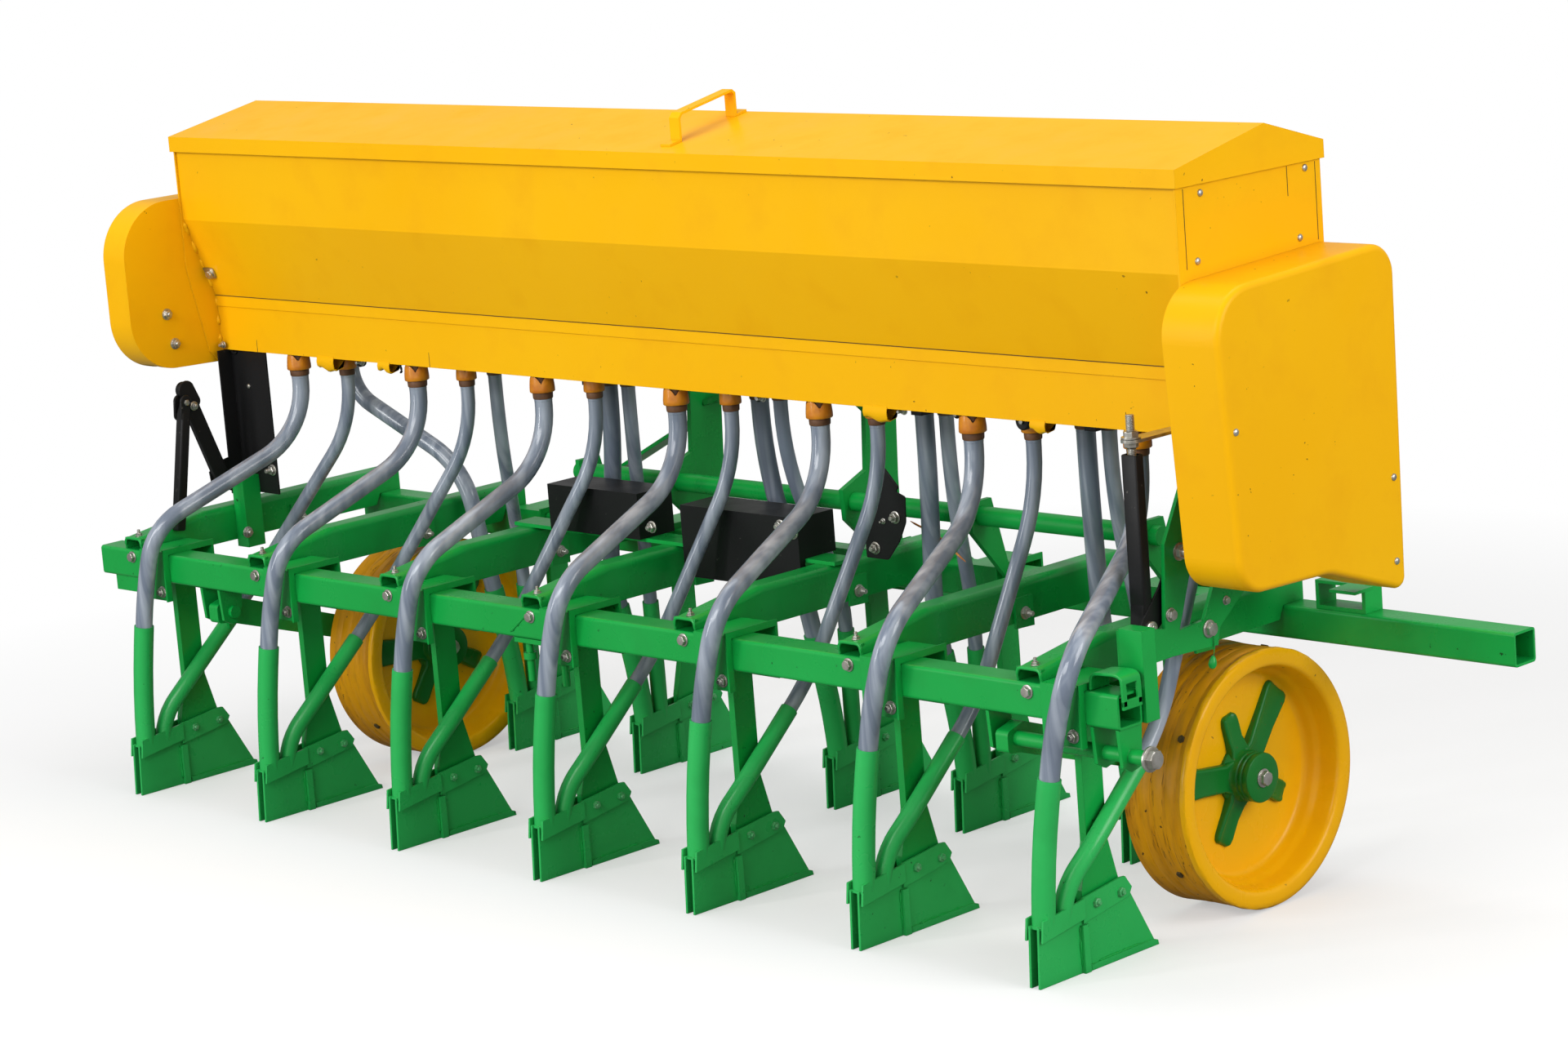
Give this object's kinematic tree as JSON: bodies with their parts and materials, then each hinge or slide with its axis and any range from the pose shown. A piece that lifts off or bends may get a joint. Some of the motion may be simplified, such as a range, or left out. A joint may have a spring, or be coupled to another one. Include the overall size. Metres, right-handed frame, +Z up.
{
  "type": "tractor-mounted seed drill",
  "caption": "Mounted seed and fertiliser drill: yellow hopper with a gabled lid, drop tubes to two rows of furrow openers on green toolbars, drive wheels.",
  "frame": {"origin": "middle of the drill's footprint, on the ground it stands on", "axes": "+X to the drill's right along the toolbars, +Y the way it travels, +Z up"},
  "size_m": [3.38, 1.025, 1.5464],
  "materials": {
    "yellow_paint": "gloss",
    "green_paint": "gloss",
    "black_paint": "satin",
    "grey_hose": "gloss",
    "orange_plastic": "satin",
    "zinc_steel": "satin"
  },
  "bodies": {
    "frame": {"toolbar_rear": "green_paint", "toolbar_front": "green_paint", "toolbar_arms": "green_paint", "opener_clamps_rear": "green_paint", "opener_clamps_front": "green_paint", "opener_shanks_rear": "green_paint", "opener_shanks_front": "green_paint", "opener_boots_rear": "green_paint", "opener_boots_front": "green_paint", "seed_tubes_rear": "grey_hose", "fertiliser_tubes_rear": "grey_hose", "seed_tubes_front": "grey_hose", "fertiliser_tubes_front": "grey_hose", "hopper_rear_sheet": "yellow_paint", "hopper_front_sheet": "yellow_paint", "hopper_ends": "yellow_paint", "feed_tray": "yellow_paint", "metering_cups": "orange_plastic", "tray_flaps": "yellow_paint", "feed_shaft": "black_paint", "lid_hinges": "zinc_steel", "chain_cover": "yellow_paint", "drive_housing": "yellow_paint", "cover_bridge": "green_paint", "hitch_mast": "green_paint", "lower_link_lugs": "green_paint", "hitch_pins": "zinc_steel", "cross_shaft": "green_paint", "cross_shaft_plates": "green_paint", "mast_brace": "green_paint", "cover_strap": "green_paint", "drive_covers": "black_paint", "stand_panel_left": "black_paint", "stand_post_left": "green_paint", "linkage_left": "black_paint", "stand_plate_right": "green_paint", "upright_right": "green_paint", "screw_jack": "black_paint", "toolbar_end_saddle": "green_paint", "under_bar_brackets": "green_paint", "wheel_pivots": "green_paint"},
    "lid": {"hopper_lid": "yellow_paint", "lid_handle": "yellow_paint"},
    "wheel_arm_right": {"wheel_arm_right": "green_paint"},
    "wheel_arm_left": {"wheel_arm_left": "green_paint"},
    "wheel_right": {"wheel_right": "yellow_paint", "wheel_spider_right": "green_paint"},
    "wheel_left": {"wheel_left": "yellow_paint", "wheel_spider_left": "green_paint"}
  },
  "joints": [
    {"name": "lid_hinge", "type": "hinge", "parent": "frame", "child": "lid", "pos_m": [-0.116, 0.2355, 1.417], "axis": [-1, 0, 0], "range_deg": [0, 100]},
    {"name": "wheel_depth_right", "type": "hinge", "parent": "frame", "child": "wheel_arm_right", "pos_m": [1.05, -0.3885, 0.424], "axis": [-1, 0, 0], "range_deg": [0, 8]},
    {"name": "wheel_depth_left", "type": "hinge", "parent": "frame", "child": "wheel_arm_left", "pos_m": [-1.3, -0.3885, 0.424], "axis": [-1, 0, 0], "range_deg": [0, 8]},
    {"name": "wheel_spin_right", "type": "hinge", "parent": "wheel_arm_right", "child": "wheel_right", "pos_m": [1.165, 0.1095, 0.25], "axis": [1, 0, 0], "continuous": true},
    {"name": "wheel_spin_left", "type": "hinge", "parent": "wheel_arm_left", "child": "wheel_left", "pos_m": [-1.185, 0.1095, 0.25], "axis": [1, 0, 0], "continuous": true}
  ]
}
